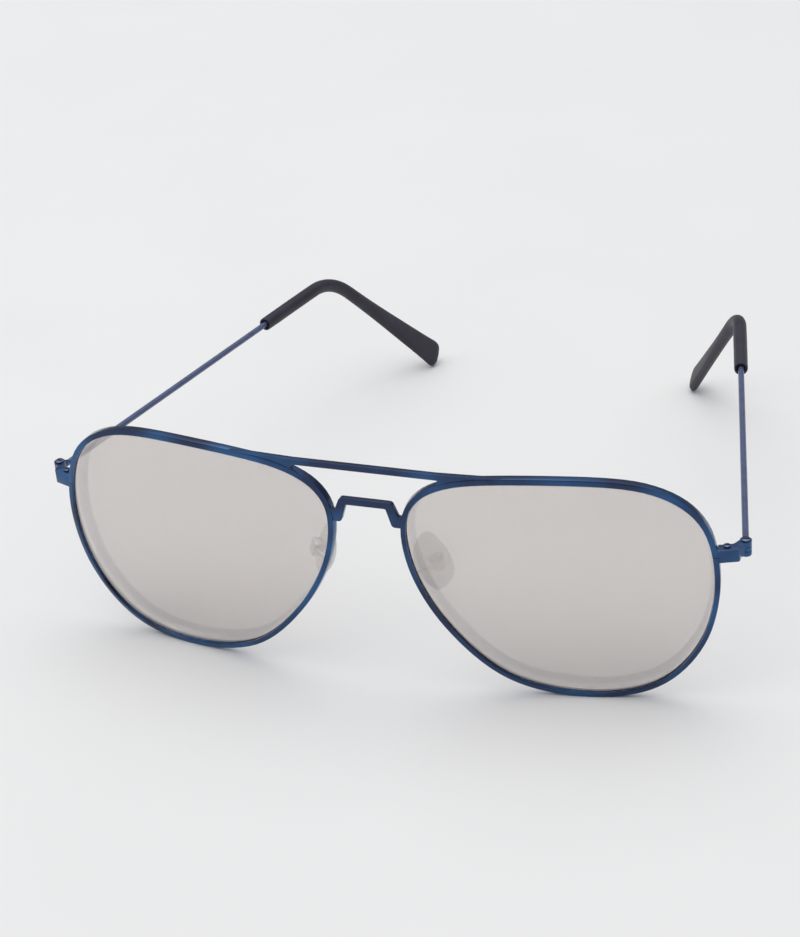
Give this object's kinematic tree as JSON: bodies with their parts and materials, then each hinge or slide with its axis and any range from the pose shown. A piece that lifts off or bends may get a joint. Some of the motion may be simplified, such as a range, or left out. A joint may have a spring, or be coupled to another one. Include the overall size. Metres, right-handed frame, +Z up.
{
  "type": "aviator sunglasses",
  "caption": "Open metal sunglasses with teardrop mirrored lenses in thin rims, a brow bar over a stepped nose bridge, rocking nose pads and folding wire temples with flattened ear tips.",
  "frame": {"origin": "on the table under the middle of the open glasses, which stand on their lower rims and temple tips", "axes": "+X to the wearer's left across the face, +Y from the lenses back to the ears, +Z up"},
  "size_m": [0.145, 0.1433, 0.0501],
  "materials": {
    "frame_paint": "glossy slate-blue enamel",
    "wire_paint": "satin violet-grey enamel",
    "tip_plastic": "matt plum-black sleeve",
    "lens_mirror": "light silver mirror coat, slightly see-through",
    "screw_steel": "bright steel",
    "pad_steel": "bright steel",
    "pad_vinyl": "clear soft vinyl"
  },
  "bodies": {
    "front": {"brow_bar": "frame_paint", "nose_bridge": "frame_paint", "left_rim": "frame_paint", "left_lens": "lens_mirror", "left_end_piece": "frame_paint", "left_closing_block": "frame_paint", "left_rim_screw": "screw_steel", "left_hinge_screw": "screw_steel", "left_pad_arm": "pad_steel", "left_pad_box": "pad_steel", "left_pad_screw": "screw_steel", "right_rim": "frame_paint", "right_lens": "lens_mirror", "right_end_piece": "frame_paint", "right_closing_block": "frame_paint", "right_rim_screw": "screw_steel", "right_hinge_screw": "screw_steel", "right_pad_arm": "pad_steel", "right_pad_box": "pad_steel", "right_pad_screw": "screw_steel"},
    "left_temple": {"left_temple_hinge": "frame_paint", "left_temple_wire": "wire_paint", "left_temple_tip": "tip_plastic"},
    "left_pad": {"left_nose_pad": "pad_vinyl"},
    "right_temple": {"right_temple_hinge": "frame_paint", "right_temple_wire": "wire_paint", "right_temple_tip": "tip_plastic"},
    "right_pad": {"right_nose_pad": "pad_vinyl"}
  },
  "joints": [
    {"name": "left_temple_fold", "type": "hinge", "parent": "front", "child": "left_temple", "pos_m": [0.0714, -0.05814, 0.03347], "axis": [0, -0.0614, 0.9981], "range_deg": [0, 74]},
    {"name": "right_temple_fold", "type": "hinge", "parent": "front", "child": "right_temple", "pos_m": [-0.0714, -0.05814, 0.03347], "axis": [0, 0.0614, -0.9981], "range_deg": [0, 67]},
    {"name": "left_nose_pad_rock", "type": "hinge", "parent": "front", "child": "left_pad", "pos_m": [0.01235, -0.06599, 0.02696], "axis": [0.539, 0.8056, 0.2461], "range_deg": [-8, 8]},
    {"name": "right_nose_pad_rock", "type": "hinge", "parent": "front", "child": "right_pad", "pos_m": [-0.01235, -0.06599, 0.02696], "axis": [-0.539, 0.8056, 0.2461], "range_deg": [-8, 8]}
  ]
}
